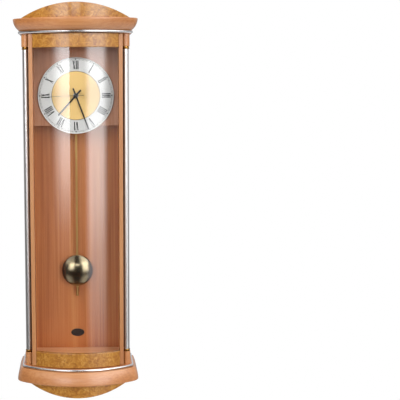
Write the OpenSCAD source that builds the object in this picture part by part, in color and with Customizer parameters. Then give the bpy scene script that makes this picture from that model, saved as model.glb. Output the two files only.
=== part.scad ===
// Pendulum wall clock: a slim beech case with a bowed glass door, two metal columns,
// a radio-controlled quartz movement and a pendulum.
// The origin is the centre of the hanging hole, on the wall. The clock faces -Y and +Z is up.
// "h" in a name or an argument is a distance in front of the wall, so a point's y is -h.

/* [Case] */
// Distance from the clock's centre to each column's axis
column_x = 93; // [80:0.5:140]
// Distance from the wall to the columns' axes
column_h = 68.4; // [62:0.1:110]
// Radius of the bow, through the columns' axes
bow_r = 161; // [150:1:300]
// Height of the case between the crown board and the base board
case_height = 623; // [480:1:900]
// Distance from the crown board down to the hanging hole
hang_drop = 52; // [40:1:90]
// Thickness of the side panels
side_t = 10; // [6:0.5:11]
// How far the side panels stand out past the columns' axes
side_out = 3; // [0:0.5:5]
// Thickness of the inner top and of the floor
shelf_t = 12; // [8:0.5:20]
// Thickness of the back panel
back_t = 4; // [3:0.5:6]
// Depth of the recess behind the back panel
back_recess = 8; // [6:0.5:12]

/* [Columns] */
// Radius of the columns
column_r = 5.5; // [3:0.5:6]
// Wall of the column tubes
column_wall = 1; // [0.5:0.1:2]
// Radius of the rounded blocks over and under the columns
block_r = 7; // [6.5:0.5:9]
// Height of the blocks
block_height = 24; // [15:1:40]
// Wall of the brass collars
collar_wall = 1; // [0.6:0.1:1.5]
// Height of the brass collars
collar_height = 5; // [3:0.5:10]

/* [Crown and base] */
// Thickness of the crown board and of the base board
board_t = 5; // [4:0.5:10]
// How far those boards reach past the columns' axes
board_out = 10; // [9:0.5:14]
// How far the metal bands stand out from the boards
band_out = 3; // [2:0.5:5]
// Height of the crown moulding
crown_height = 22; // [15:1:35]
// How far the crown moulding reaches past the columns' axes
crown_out = 22; // [18:0.5:30]
// How far the crown moulding draws in from its top to its foot
crown_draw = 12; // [6:0.5:12]
// Height of the base moulding
base_height = 25; // [15:1:35]
// How far the base moulding draws in from its foot to its top
base_draw = 6; // [3:0.5:12]
// Half the chord of the arched crown panel
arch_half = 100; // [80:1:105]
// Rise of the arched crown panel
arch_rise = 26.7; // [15:0.1:40]
// Half the chord of the arched apron
apron_half = 92; // [80:1:105]
// Drop of the arched apron
apron_drop = 23.3; // [15:0.1:40]
// Thickness of the crown panel and the apron
arch_t = 15; // [8:1:20]
// How far the crown panel and the apron are set back from the mouldings' edges
arch_set = 5; // [2:0.5:8]

/* [Door] */
// Width of the door's stiles
stile_w = 7.5; // [7:0.5:12]
// Depth of the door's stiles
stile_d = 10; // [8:0.5:12]
// Depth of the door's bowed rails
rail_d = 10; // [8:0.5:12]
// Height of the top rail
top_rail_height = 25; // [15:1:40]
// Height of the bottom rail
bottom_rail_height = 27; // [15:1:40]
// Thickness of the glass
glass_t = 3; // [2:0.5:4]
// How deep the glass sits in the frame
glass_in = 4; // [2.5:0.5:6]
// Gap above and below the door
door_gap = 1; // [0.8:0.1:2]
// Radius of the pivot pins
pivot_r = 1.5; // [1:0.1:2]

/* [Dial and hands] */
// Radius of the dial
dial_r = 72; // [55:1:76]
// Distance from the hanging hole down to the dial's centre
dial_drop = 62; // [55:1:90]
// Radius of the opening in the chapter ring
ring_in_r = 46; // [35:1:50]
// Thickness of the dial plate
dial_t = 1.5; // [1:0.1:2.5]
// Thickness of the chapter ring
ring_t = 1.5; // [1:0.1:2.5]
// Length of the hour hand
hour_hand_l = 50; // [35:1:52]
// Length of the minute hand
minute_hand_l = 68; // [50:1:70]
// Length of the second hand
second_hand_l = 65; // [50:1:70]
// Depth of the board that carries the movement
dial_board_t = 4; // [3:0.5:8]
// Distance from the inner top down to the foot of that board
dial_board_height = 159; // [140:1:180]

/* [Movement] */
// Width of the movement's housing
housing_w = 58; // [56:1:70]
// Reach of the housing above the hands' axis
housing_up = 29; // [27:1:35]
// Reach of the housing below the hands' axis
housing_down = 53; // [53:1:70]
// Depth of the housing without its cover
housing_d = 17; // [16.5:0.1:20]
// Wall of the housing
housing_wall = 1.6; // [1.2:0.1:2.2]
// Travel of the two push buttons
button_travel = 0.8; // [0.4:0.1:0.8]
// Module of the first pair of motion-work wheels
gear_m = 0.5; // [0.4:0.01:0.5]

/* [Pendulum] */
// Distance from the hands' axis down to the pendulum's pivot
pivot_drop = 22; // [20:1:24]
// Distance from the pivot down to the centre of the bob
pendulum_l = 316; // [250:1:330]
// Radius of the bob
bob_r = 30; // [20:1:34]
// Bulge of the bob's front
bob_bulge = 7; // [4:0.5:9]
// Width of the pendulum rod
rod_w = 4; // [3:0.5:6]
// Thickness of the pendulum rod
rod_t = 1.2; // [0.8:0.1:1.6]

/* [Hanging] */
// Radius of the hanging hole
hang_r = 4.5; // [3.5:0.1:6]
// Width of the hanging slot
hang_slot_w = 4.4; // [3:0.1:5]
// Height of the hanging slot above the hole's centre
hang_slot_up = 9; // [7:0.5:14]
// Thickness of the hanger plate
hang_plate_t = 1.5; // [1:0.1:2.5]

/* [Hidden] */
$fn = 96;

// Finishes
beech = "#cf9a6c";
dark_beech = "#9c6a4c";
burl = "#b27d33";
silver = "#c9c9cc";
gold = "#d8b36a";
black = "#1c1c1c";

// Clearances
fit = 0.05;      // a pin or a pipe that turns in its bore
loose = 0.2;     // what slides into a groove or a pocket
free = 1;        // what moves past something else
seam = 0.03;     // a hairline joint between two lengths of moulding
seam_angle = 0.15;

// Heights
top_z = hang_drop;
foot_z = top_z - case_height;
ceiling_z = top_z - shelf_t;
floor_z = foot_z + shelf_t + 3;
crown_z = top_z + board_t;
base_z = foot_z - board_t;
dial_z = -dial_drop;
pivot_z = dial_z - pivot_drop;
bob_z = pivot_z - pendulum_l;

// Plan
bow_h = column_h - sqrt(bow_r * bow_r - column_x * column_x);
half_angle = asin(column_x / bow_r);
side_x = column_x + side_out;
inner_x = side_x - side_t;
side_h = column_h - column_r - 1.4;
back_h = back_recess + back_t;
jamb_x = inner_x - 6.5;
jamb_x1 = min(inner_x, column_x - block_r);
jamb_h0 = side_h - 12;
door_x = column_x - column_r - free;
opening_x = door_x - stile_w;
stile_h0 = column_h + 5.6;
stile_h1 = stile_h0 + stile_d;
jamb_h1 = stile_h0 - 2;
door_r1 = bow_r + 7;
door_r0 = door_r1 - rail_d;
glass_r1 = door_r1 - 3.5;
glass_r0 = glass_r1 - glass_t;
door_z0 = foot_z + door_gap;
door_z1 = top_z - door_gap;
hinge_x = -(door_x - stile_w / 2);
hinge_h = (stile_h0 + stile_h1) / 2;

// Movement, from the wall forwards
cover_h = back_h + 1.5;
housing_h0 = cover_h + 1.5;
housing_h1 = housing_h0 + housing_d;
bay_h = housing_h1 - housing_wall;
board_h1 = housing_h1 + dial_board_t;
plate_h1 = board_h1 + dial_t;
ring_h1 = plate_h1 + ring_t;
housing_x = housing_w / 2;
housing_z1 = dial_z + housing_up;
housing_z0 = dial_z - housing_down;
bay_x = housing_x - housing_wall;
bay_z0 = housing_z0 + housing_wall;
bay_z1 = housing_z1 - housing_wall;
bush_r = 4;
bush_h1 = plate_h1 + 3;
nut_h1 = plate_h1 + 2.4;
hour_pipe_r = 2.5;
minute_pipe_r = 1.6;
arbor_r = 0.5;
stud_r = 0.8;
post_w = 4;
battery_r = 7.1;
battery_l = 50;
battery_x = bay_x - battery_r - 0.5;
battery_z0 = bay_z0 + 0.8;
battery_z1 = battery_z0 + battery_l;
shelf_z = battery_z1 + 0.9;

// Motion works: cannon pinion to motion wheel, motion pinion to hour wheel
cannon_teeth = 12;
motion_teeth = 36;
pinion_teeth = 10;
hour_teeth = 40;
gear_gap = gear_m * (cannon_teeth + motion_teeth) / 2;
gear_m2 = 2 * gear_gap / (pinion_teeth + hour_teeth);

// Hands: distance of each from the wall
hand_t = 0.6;
hour_hand_h = bush_h1 + 1;
minute_hand_h = hour_hand_h + 1.6;
second_hand_h = minute_hand_h + 1.6;
hour_hand_turn = 222.2;
minute_hand_turn = 159.5;
second_hand_turn = 268;
pipe_h0 = housing_h0 + 7;

// Pendulum
rod_h0 = housing_h0 + 5.8;
rod_h1 = rod_h0 + rod_t;
hanger_t = 1.2;
hanger_h1 = rod_h1 + hanger_t;
bob_rim = 1.2;

// A box from its limits across, away from the wall, and up
module slab(x0, x1, h0, h1, z0, z1)
    translate([x0, -h1, z0]) cube([x1 - x0, h1 - h0, z1 - z0]);

// A child and its mirror image across the clock
module pair() {
    children();
    mirror([1, 0, 0]) children();
}

// The child's own z axis points forwards, from the point x, h, z
module facing(x, h, z)
    translate([x, -h, z]) rotate([90, 0, 0]) children();

// A disc or a ring that faces forwards
module disc(x, z, h0, h1, r)
    facing(x, h0, z) cylinder(r = r, h = h1 - h0);

// A full ring about the bow's centre
module bow_ring(r0, r1, z0, z1)
    translate([0, -bow_h, 0])
        rotate_extrude() translate([r0, z0]) square([r1 - r0, z1 - z0]);

// A profile, measured out from the column axes, run along the bowed front
module along_front()
    translate([0, -bow_h, 0]) rotate([0, 0, -90 - half_angle])
        rotate_extrude(angle = 2 * half_angle) translate([bow_r, 0]) children();

// The same profile, turned round the right-hand corner, with a hairline joint to the front
module round_corner()
    translate([column_x, -column_h, 0]) rotate([0, 0, half_angle - 90 + seam_angle])
        rotate_extrude(angle = 90 - half_angle - seam_angle) children();

// The same profile, run back to the wall along the right-hand side, with the same joint
module along_side()
    translate([column_x, 0, 0]) rotate([90, 0, 0])
        linear_extrude(height = column_h - seam) children();

// Outline of the crown and base boards, as points: bow, corners and straight sides
function arc(cx, cy, r, a0, a1, n) =
    [for (i = [0 : n]) [cx + r * cos(a0 + (a1 - a0) * i / n), cy + r * sin(a0 + (a1 - a0) * i / n)]];
function board_outline(out) = concat(
    [[-column_x - out, 0]],
    arc(-column_x, -column_h, out, 180, 270 - half_angle, 12),
    arc(0, -bow_h, bow_r + out, 270 - half_angle, 270 + half_angle, 48),
    arc(column_x, -column_h, out, 270 + half_angle, 360, 12),
    [[column_x + out, 0]]);

module board(z0, z1)
    translate([0, 0, z0]) linear_extrude(height = z1 - z0) polygon(board_outline(board_out));

// Convex moulding profile: full width at one edge, drawn in by an arc at the other
function ovolo_r(height, draw) = (height * height + draw * draw) / (2 * draw);
module ovolo(z_full, height, draw, up) {
    r = ovolo_r(height, draw);
    intersection() {
        translate([0, up ? z_full : z_full - height]) square([crown_out, height]);
        translate([crown_out - r, z_full]) circle(r = r, $fn = 180);
    }
}

// Half-round metal band
module bead(z0) {
    r = min(board_t / 2, band_out);
    z_mid = z0 + board_t / 2;
    polygon(concat([[board_out, z_mid - r]], arc(board_out + band_out - r, z_mid, r, -90, 90, 16),
        [[board_out, z_mid + r]]));
}

// Inner shelf: between the sides and the jambs, with a front that follows the door
module shelf(z0, z1)
    intersection() {
        translate([0, -bow_h, z0]) cylinder(r = door_r0 - 2, h = z1 - z0, $fn = 180);
        union() {
            slab(-inner_x, inner_x, 0, jamb_h0, z0, z1);
            slab(-jamb_x, jamb_x, 0, column_h + bow_r, z0, z1);
        }
    }

// Toothed wheel with straight-flanked teeth
function tooth(n, m, i) = let (
        pitch = 360 / n,
        root = m * n / 2 - 1.2 * m,
        tip = m * n / 2 + 0.75 * m)
    [for (p = [[-0.26, root], [-0.10, tip], [0.10, tip], [0.26, root]])
        [p[1] * cos((i + p[0]) * pitch), p[1] * sin((i + p[0]) * pitch)]];
module wheel(n, m, h0, h1)
    translate([0, 0, h0]) linear_extrude(height = h1 - h0)
        polygon([for (i = [0 : n - 1]) each tooth(n, m, i)]);

// ---- Case ----

module back_panel() {
    window_x = housing_x + 2;
    color(beech) difference() {
        slab(-inner_x, inner_x, back_recess, back_h, floor_z, ceiling_z);
        slab(-window_x, window_x, 0, back_h + 1, housing_z0 - 3, housing_z1 + 3);
    }
}

module side_panel()
    color(beech) slab(inner_x, side_x, 0, side_h, foot_z, top_z);

module left_side() mirror([1, 0, 0]) side_panel();
module right_side() side_panel();

module case_top() color(beech) shelf(ceiling_z, top_z);

module floor_board() color(beech) shelf(foot_z, floor_z);

catch_z = dial_z - 200;
catch_l = 30;
module catch_pocket(slack)
    slab(jamb_x + 1 - slack, jamb_x1 - 0.5 + slack, jamb_h1 - 6 - slack, jamb_h1 + 0.9 + slack,
        catch_z - slack, catch_z + catch_l + slack);

module jamb() {
    slab(jamb_x, jamb_x1, jamb_h0, jamb_h1, foot_z, top_z);
    slab(jamb_x, inner_x, jamb_h0, side_h, foot_z, top_z);
}

module front_jambs() color(beech) {
    mirror([1, 0, 0]) jamb();
    difference() {
        jamb();
        catch_pocket(fit);
    }
}

module catch_magnet() color(black) catch_pocket(0);

// ---- Crown ----

bush_out_r = pivot_r + 1.2;
module crown_board() color(beech) difference() {
    board(top_z, crown_z);
    translate([hinge_x, -hinge_h, top_z - 1]) cylinder(r = bush_out_r + fit, h = board_t + 2);
}

module crown_moulding() color(beech) along_front() ovolo(crown_z + crown_height, crown_height, crown_draw, false);

module crown_returns() color(beech) pair() {
    round_corner() ovolo(crown_z + crown_height, crown_height, crown_draw, false);
    along_side() ovolo(crown_z + crown_height, crown_height, crown_draw, false);
}

// A bowed panel whose edge is an arc of a circle, seen from the front
module arched(half, rise, z_foot, up) {
    r = (half * half + rise * rise) / (2 * rise);
    z_centre = z_foot + (up ? rise - r : r - rise);
    intersection() {
        bow_ring(bow_r + crown_out - arch_set - arch_t, bow_r + crown_out - arch_set,
            up ? z_foot : z_foot - 2 * rise, up ? z_foot + 2 * rise : z_foot);
        facing(0, 0, z_centre) cylinder(r = r, h = column_h + bow_r, $fn = 180);
        slab(-2 * half, 2 * half, 20, column_h + bow_r, z_foot - 2 * rise, z_foot + 2 * rise);
    }
}

module crown_arch() color(burl) arched(arch_half, arch_rise, crown_z + crown_height, true);

module band(z0) {
    along_front() bead(z0);
    pair() {
        round_corner() bead(z0);
        along_side() bead(z0);
    }
}

module crown_band() color(silver) band(top_z);

// ---- Base ----

module base_board() color(beech) difference() {
    board(base_z, foot_z);
    translate([hinge_x, -hinge_h, base_z - 1]) cylinder(r = bush_out_r + fit, h = board_t + 2);
}

module base_moulding() color(beech) along_front() ovolo(base_z - base_height, base_height, base_draw, true);

module base_returns() color(beech) pair() {
    round_corner() ovolo(base_z - base_height, base_height, base_draw, true);
    along_side() ovolo(base_z - base_height, base_height, base_draw, true);
}

module base_apron() color(burl) arched(apron_half, apron_drop, base_z - base_height, false);

module base_band() color(silver) band(base_z);

// ---- Columns ----

module corner_block(z0, z1) {
    flank = block_r - 0.1;
    difference() {
        union() {
            translate([column_x, -column_h, z0]) cylinder(r = block_r, h = z1 - z0);
            slab(column_x - flank, column_x + flank, side_h - 1, column_h, z0, z1);
        }
        slab(column_x - block_r - 1, column_x + block_r + 1, 0, side_h, z0 - 1, z1 + 1);
    }
}

module capitals() color(beech) pair() corner_block(top_z - block_height, top_z);

module plinth_blocks() color(beech) pair() corner_block(foot_z, foot_z + block_height);

module columns() color(silver) pair() translate([column_x, -column_h, foot_z + block_height])
    difference() {
        cylinder(r = column_r, h = case_height - 2 * block_height);
        translate([0, 0, -1]) cylinder(r = column_r - column_wall, h = case_height);
    }

module collar(z) {
    collar_r = column_r + collar_wall;
    translate([column_x, -column_h, z]) rotate_extrude()
        polygon([[column_r + fit, 0], [collar_r - 0.5, 0], [collar_r, 0.6],
            [collar_r, collar_height - 0.6], [collar_r - 0.5, collar_height],
            [column_r + fit, collar_height]]);
}

module column_collars() color(gold) pair() {
    collar(top_z - block_height - collar_height);
    collar(foot_z + block_height);
}

// ---- Dial ----

module dial_board() color(dark_beech) difference() {
    slab(-inner_x, inner_x, housing_h1, board_h1, ceiling_z - dial_board_height, ceiling_z);
    disc(0, dial_z, housing_h1 - 1, board_h1 + 1, bush_r + loose);
}

module dial_plate() color(gold) difference() {
    disc(0, dial_z, board_h1, plate_h1, dial_r - 1);
    disc(0, dial_z, board_h1 - 1, plate_h1 + 1, bush_r + loose);
}

module chapter_ring() color(silver) facing(0, plate_h1, dial_z) rotate_extrude($fn = 180)
    polygon([[ring_in_r, 0], [dial_r, 0], [dial_r, ring_t + 0.6], [dial_r - 1, ring_t + 1],
        [dial_r - 2.4, ring_t], [ring_in_r, ring_t]]);

module centre_nut() color(silver) difference() {
    disc(0, dial_z, plate_h1, nut_h1, bush_r + 1.5);
    disc(0, dial_z, plate_h1 - 1, nut_h1 + 1, bush_r + fit);
}

// ---- Movement ----

posts = [[-bay_x, bay_z1 - post_w], [bay_x - post_w, bay_z1 - post_w], [-bay_x, bay_z0]];

module movement_housing() color(black) difference() {
    union() {
        difference() {
            slab(-housing_x, housing_x, housing_h0, housing_h1, housing_z0, housing_z1);
            slab(-bay_x, bay_x, housing_h0 - 1, bay_h, bay_z0, bay_z1);
            slab(-8, 8, rod_h0 - 1.8, hanger_h1 + 1.8, housing_z0 - 1, bay_z0 + 1);
        }
        disc(0, dial_z, bay_h, bush_h1, bush_r);
        disc(0, dial_z + gear_gap, pipe_h0 - 0.4, bay_h + 0.5, stud_r);
        disc(0, pivot_z, housing_h0 + 2, bay_h + 0.5, 1);
        slab(battery_x - battery_r, bay_x + 0.5, housing_h0 + 4, bay_h + 0.5, shelf_z, shelf_z + 1.2);
        for (p = posts)
            slab(p[0], p[0] + post_w, housing_h0, bay_h, p[1], p[1] + post_w);
    }
    disc(0, dial_z, bay_h - 1, bush_h1 + 1, hour_pipe_r + fit);
    for (p = posts)
        disc(p[0] + post_w / 2, p[1] + post_w / 2, housing_h0 - 1, housing_h0 + 8, 0.85);
}

set_x = -8;
reset_x = 8;
button_z = bay_z1 - 8;
button_r = 2.4;

module movement_cover() color("#303030") difference() {
    slab(-housing_x, housing_x, cover_h, housing_h0, housing_z0, housing_z1);
    slab(battery_x - battery_r - 0.3, bay_x, cover_h - 1, housing_h0 + 1, battery_z0 - 0.6, battery_z1 + 0.6);
    for (x = [set_x, reset_x])
        disc(x, button_z, cover_h - 1, housing_h0 + 1, button_r + loose);
    for (p = posts)
        disc(p[0] + post_w / 2, p[1] + post_w / 2, cover_h - 1, housing_h0 + 1, 1);
}

module movement_screws() color(silver) for (p = posts) {
    disc(p[0] + post_w / 2, p[1] + post_w / 2, cover_h - 0.9, cover_h, 1.8);
    disc(p[0] + post_w / 2, p[1] + post_w / 2, cover_h, housing_h0 + 6, 0.8);
}

module battery() color("#4a6a4a") translate([battery_x, -(housing_h0 + 0.6 + battery_r), 0]) {
    translate([0, 0, battery_z0]) cylinder(r = battery_r, h = battery_l - 1);
    translate([0, 0, battery_z1 - 1]) cylinder(r = 2.7, h = 1);
}

module battery_contacts() color(gold) {
    slab(battery_x - 4, battery_x + 4, housing_h0 + 4, bay_h, bay_z0, battery_z0);
    slab(battery_x - 4, battery_x + 4, housing_h0 + 4, bay_h, battery_z1, shelf_z);
}

pcb_h = housing_h0 + 2.2;
module circuit_board() color("#2c6b45")
    slab(-bay_x + 5, bay_x - 5, pcb_h, pcb_h + 1.2, shelf_z + 1.6, bay_z1 - 1.4);

module antenna() color("#5a3a2a") {
    translate([-bay_x + 8, -(housing_h0 + 8), bay_z0 + 6]) cylinder(r = 3, h = 44);
    translate([-bay_x + 8, -(housing_h0 + 8), bay_z0 + 20]) difference() {
        cylinder(r = 4.5, h = 16);
        translate([0, 0, -1]) cylinder(r = 3 + fit, h = 18);
    }
}

module motor_coils() color("#b5622e") pair()
    translate([13, -(housing_h0 + 8), bay_z1 - 5]) rotate([0, 90, 0]) cylinder(r = 3, h = 10);

module drive_coil() color("#b5622e")
    disc(0, pivot_z - 16, hanger_h1 + 3.6, bay_h, 7);

module button(x) {
    disc(x, button_z, cover_h - 1.8, housing_h0 + fit, button_r);
    disc(x, button_z, housing_h0 + fit, housing_h0 + 1, button_r + 0.8);
}

module set_button() color("#e8e8e8") button(set_x);
module reset_button() color("#c04030") button(reset_x);

// ---- Motion works and hands ----

module pipe(h0, h1, r_out, r_in) difference() {
    translate([0, 0, h0]) cylinder(r = r_out, h = h1 - h0);
    translate([0, 0, h0 - 1]) cylinder(r = r_in, h = h1 - h0 + 2);
}

module hour_wheel() color(gold) facing(0, 0, dial_z) difference() {
    union() {
        wheel(hour_teeth, gear_m2, pipe_h0 + 4, pipe_h0 + 5.2);
        translate([0, 0, pipe_h0 + 4]) cylinder(r = hour_pipe_r, h = hour_hand_h + hand_t - pipe_h0 - 4);
    }
    translate([0, 0, pipe_h0]) cylinder(r = minute_pipe_r + fit, h = hour_hand_h);
}

module cannon_pinion() color(gold) facing(0, 0, dial_z) difference() {
    union() {
        rotate([0, 0, 180 / cannon_teeth]) wheel(cannon_teeth, gear_m, pipe_h0, pipe_h0 + 2.4);
        translate([0, 0, pipe_h0]) cylinder(r = minute_pipe_r, h = minute_hand_h + hand_t - pipe_h0);
    }
    translate([0, 0, pipe_h0 - 1]) cylinder(r = arbor_r + fit, h = minute_hand_h);
}

module motion_wheel() color(gold) facing(0, 0, dial_z + gear_gap) difference() {
    union() {
        wheel(motion_teeth, gear_m, pipe_h0 + 0.6, pipe_h0 + 1.8);
        wheel(pinion_teeth, gear_m2, pipe_h0 + 1.8, pipe_h0 + 5.4);
    }
    translate([0, 0, pipe_h0]) cylinder(r = stud_r + fit, h = 6);
}

module second_wheel() color(gold) facing(0, 0, dial_z) {
    wheel(30, 0.5, pipe_h0 - 2, pipe_h0 - 1);
    translate([0, 0, pipe_h0 - 1]) cylinder(r = arbor_r, h = second_hand_h + hand_t + 1 - pipe_h0);
}

// Baton hand that lies along the child's y axis, with a tail and a round boss
module baton(length, tail, w_root, w_tip, boss_r, bore_r) difference() {
    union() {
        cylinder(r = boss_r, h = hand_t);
        linear_extrude(height = hand_t)
            polygon([[-w_root / 2, -tail], [w_root / 2, -tail], [w_tip / 2, length], [-w_tip / 2, length]]);
    }
    translate([0, 0, -1]) cylinder(r = bore_r, h = hand_t + 2);
}

module on_dial(h, turn) facing(0, h, dial_z) rotate([0, 0, -turn]) children();

module hour_hand() color(black) on_dial(hour_hand_h, hour_hand_turn)
    baton(hour_hand_l, 14, 3.4, 3, 4.1, hour_pipe_r);

module minute_hand() color(black) on_dial(minute_hand_h, minute_hand_turn)
    baton(minute_hand_l, 14.7, 3.1, 2.2, 4.1, minute_pipe_r);

module second_hand() color(black) on_dial(second_hand_h, second_hand_turn)
    baton(second_hand_l, 15, 0.8, 0.5, 2, arbor_r);

// ---- Pendulum ----

module pendulum_hanger() color(silver) difference() {
    union() {
        slab(-3, 3, rod_h1, hanger_h1, pivot_z - 34, pivot_z);
        disc(0, pivot_z, rod_h1 - 2, hanger_h1 + 1, 3);
        disc(0, pivot_z - 26, rod_h0 - 0.6, rod_h1, 1);
    }
    disc(0, pivot_z, rod_h0 - 3, hanger_h1 + 3, 1 + fit);
}

module hanger_magnet() color("#808080") disc(0, pivot_z - 16, hanger_h1, hanger_h1 + 3, 4);

module pendulum_rod() color(gold) difference() {
    slab(-rod_w / 2, rod_w / 2, rod_h0, rod_h1, bob_z - bob_r - 2, pivot_z - 8);
    disc(0, pivot_z - 26, rod_h0 - 1, rod_h1 + 1, 1 + fit);
}

module bob_front() color(gold) facing(0, rod_h1, bob_z) {
    r = (bob_r * bob_r + bob_bulge * bob_bulge) / (2 * bob_bulge);
    difference() {
        intersection() {
            cylinder(r = bob_r, h = bob_bulge + 1);
            translate([0, 0, bob_bulge - r + 0.8]) sphere(r = r, $fn = 180);
        }
        intersection() {
            translate([0, 0, -1]) cylinder(r = bob_r - 2, h = bob_bulge + 1);
            translate([0, 0, bob_bulge - r - 0.4]) sphere(r = r, $fn = 180);
        }
    }
}

module bob_back() color(gold) difference() {
    disc(0, bob_z, rod_h0 - 2, rod_h1, bob_r);
    disc(0, bob_z, rod_h0, rod_h1 + 1, bob_r - 2);
    slab(-rod_w / 2 - fit, rod_w / 2 + fit, rod_h0, rod_h1 + 1, bob_z - bob_r - 1, bob_z + bob_r + 1);
}

module rating_nut() color(gold) translate([0, -(rod_h0 + rod_h1) / 2, bob_z - bob_r - 20])
    difference() {
        cylinder(r = 2.6, h = 18);
        translate([0, 0, 17]) cylinder(r = 1, h = 2);
    }

// ---- Door ----

module glass_groove()
    intersection() {
        bow_ring(glass_r0 - loose / 2, glass_r1 + loose / 2, door_z0 + bottom_rail_height - glass_in - loose,
            door_z1 - top_rail_height + glass_in + loose);
        slab(-opening_x - 2 - loose, opening_x + 2 + loose, 0, column_h + bow_r, door_z0, door_z1);
    }

module stile() difference() {
    slab(opening_x, door_x, stile_h0, stile_h1, door_z0, door_z1);
    glass_groove();
}

module pivot_hole(z0, z1) translate([hinge_x, -hinge_h, z0]) cylinder(r = pivot_r + fit / 2, h = z1 - z0);

module door_left_stile() color(beech) difference() {
    mirror([1, 0, 0]) stile();
    pivot_hole(door_z1 - 10, door_z1 + 1);
    pivot_hole(door_z0 - 1, door_z0 + 10);
}

module door_right_stile() color(beech) stile();

module rail(z0, z1) color(burl) difference() {
    intersection() {
        bow_ring(door_r0, door_r1, z0, z1);
        slab(-opening_x, opening_x, 0, column_h + bow_r, z0, z1);
    }
    glass_groove();
}

module door_top_rail() rail(door_z1 - top_rail_height, door_z1);
module door_bottom_rail() rail(door_z0, door_z0 + bottom_rail_height);

module door_glass() color([0.8, 0.9, 0.9, 0.3]) intersection() {
    bow_ring(glass_r0, glass_r1, door_z0 + bottom_rail_height - glass_in, door_z1 - top_rail_height + glass_in);
    slab(-opening_x - 2, opening_x + 2, 0, column_h + bow_r, door_z0, door_z1);
}

module door_pivots() color(silver) {
    translate([hinge_x, -hinge_h, door_z1 - 10]) cylinder(r = pivot_r, h = 10 + door_gap + board_t - 1);
    translate([hinge_x, -hinge_h, base_z + 1]) cylinder(r = pivot_r, h = 10 + door_gap + board_t - 1);
}

module bush(z0) translate([hinge_x, -hinge_h, z0]) difference() {
    cylinder(r = bush_out_r, h = board_t);
    translate([0, 0, -1]) cylinder(r = pivot_r + fit, h = board_t + 2);
}

module pivot_bushes() color(gold) {
    bush(top_z);
    bush(base_z);
    translate([hinge_x, -hinge_h, foot_z]) difference() {
        cylinder(r = bush_out_r + 1.3, h = door_gap - 0.3);
        translate([0, 0, -1]) cylinder(r = pivot_r + fit, h = door_gap + 2);
    }
}

module strike_plate() color(silver)
    slab(jamb_x + 1.5, jamb_x1 - 1, stile_h0 - 0.8, stile_h0, catch_z, catch_z + catch_l);

// ---- Plaque and hanging ----

module oval_plaque() color("#2a1c14") facing(0, back_h, floor_z + 30.6) linear_extrude(height = 1)
    polygon([for (i = [0 : 59]) [13 * cos(6 * i), 7.5 * sin(6 * i)]]);

module keyhole(r, slot_r, up, h0, h1) {
    disc(0, 0, h0, h1, r);
    disc(0, up - slot_r, h0, h1, slot_r);
    slab(-slot_r, slot_r, h0, h1, 0, up - slot_r);
}

module hanger_plate() color(silver) difference() {
    slab(-20, 20, 0, hang_plate_t, -12, hang_slot_up + 10);
    keyhole(hang_r, hang_slot_w / 2, hang_slot_up, -1, hang_plate_t + 1);
}

module hanging_rail() color(beech) difference() {
    slab(-inner_x, inner_x, hang_plate_t, back_recess, -16, hang_slot_up + 14);
    slab(-8, 8, 0, back_recess + 1, -8, hang_slot_up + 6);
}

back_panel();
left_side();
right_side();
case_top();
floor_board();
front_jambs();
crown_board();
crown_moulding();
crown_returns();
crown_arch();
crown_band();
base_board();
base_moulding();
base_returns();
base_apron();
base_band();
capitals();
plinth_blocks();
columns();
column_collars();
dial_board();
dial_plate();
chapter_ring();
centre_nut();
movement_housing();
movement_cover();
movement_screws();
battery();
battery_contacts();
circuit_board();
antenna();
motor_coils();
drive_coil();
set_button();
reset_button();
hour_wheel();
hour_hand();
cannon_pinion();
minute_hand();
second_wheel();
second_hand();
motion_wheel();
pendulum_hanger();
hanger_magnet();
pendulum_rod();
bob_front();
bob_back();
rating_nut();
door_left_stile();
door_right_stile();
door_top_rail();
door_bottom_rail();
door_glass();
door_pivots();
pivot_bushes();
catch_magnet();
strike_plate();
oval_plaque();
hanger_plate();
hanging_rail();
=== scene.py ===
import math

import bmesh
import bpy
from mathutils import Matrix, Vector


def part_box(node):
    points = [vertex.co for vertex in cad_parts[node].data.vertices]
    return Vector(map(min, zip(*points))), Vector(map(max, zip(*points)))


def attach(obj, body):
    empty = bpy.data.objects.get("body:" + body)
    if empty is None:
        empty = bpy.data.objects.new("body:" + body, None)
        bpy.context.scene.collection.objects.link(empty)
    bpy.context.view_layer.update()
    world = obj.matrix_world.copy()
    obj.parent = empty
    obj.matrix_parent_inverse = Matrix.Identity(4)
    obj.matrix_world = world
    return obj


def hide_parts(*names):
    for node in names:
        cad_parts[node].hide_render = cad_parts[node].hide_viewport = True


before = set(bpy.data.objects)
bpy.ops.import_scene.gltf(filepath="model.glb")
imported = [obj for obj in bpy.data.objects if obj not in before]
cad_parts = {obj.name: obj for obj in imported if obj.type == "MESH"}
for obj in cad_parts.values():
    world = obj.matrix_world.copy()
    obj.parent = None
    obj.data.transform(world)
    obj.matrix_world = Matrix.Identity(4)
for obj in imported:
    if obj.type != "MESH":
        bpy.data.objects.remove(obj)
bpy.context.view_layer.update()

bpy.ops.object.select_all(action="DESELECT")

# ---- Camera ----
# The clock hangs at eye level. The camera stands straight in front of it, a little above its middle,
# looks slightly down, and is shifted sideways so that the clock keeps to the left of the frame.

camera_data = bpy.data.cameras.new("camera")
camera_data.lens = 82.07
camera_data.sensor_width = 36.0
camera_data.shift_x = 0.3086
camera_data.shift_y = -0.045
camera_data.clip_start = 0.05
camera = bpy.data.objects.new("camera", camera_data)
bpy.context.scene.collection.objects.link(camera)
look_down = math.radians(5.76)
lean = math.radians(0.478)
camera.matrix_world = (
    Matrix.Translation((0.0, -1.7674, -0.0515))
    @ Matrix.Rotation(math.pi / 2 - look_down, 4, "X")
    @ Matrix.Rotation(-lean, 4, "Z")
)
bpy.context.scene.camera = camera

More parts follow.
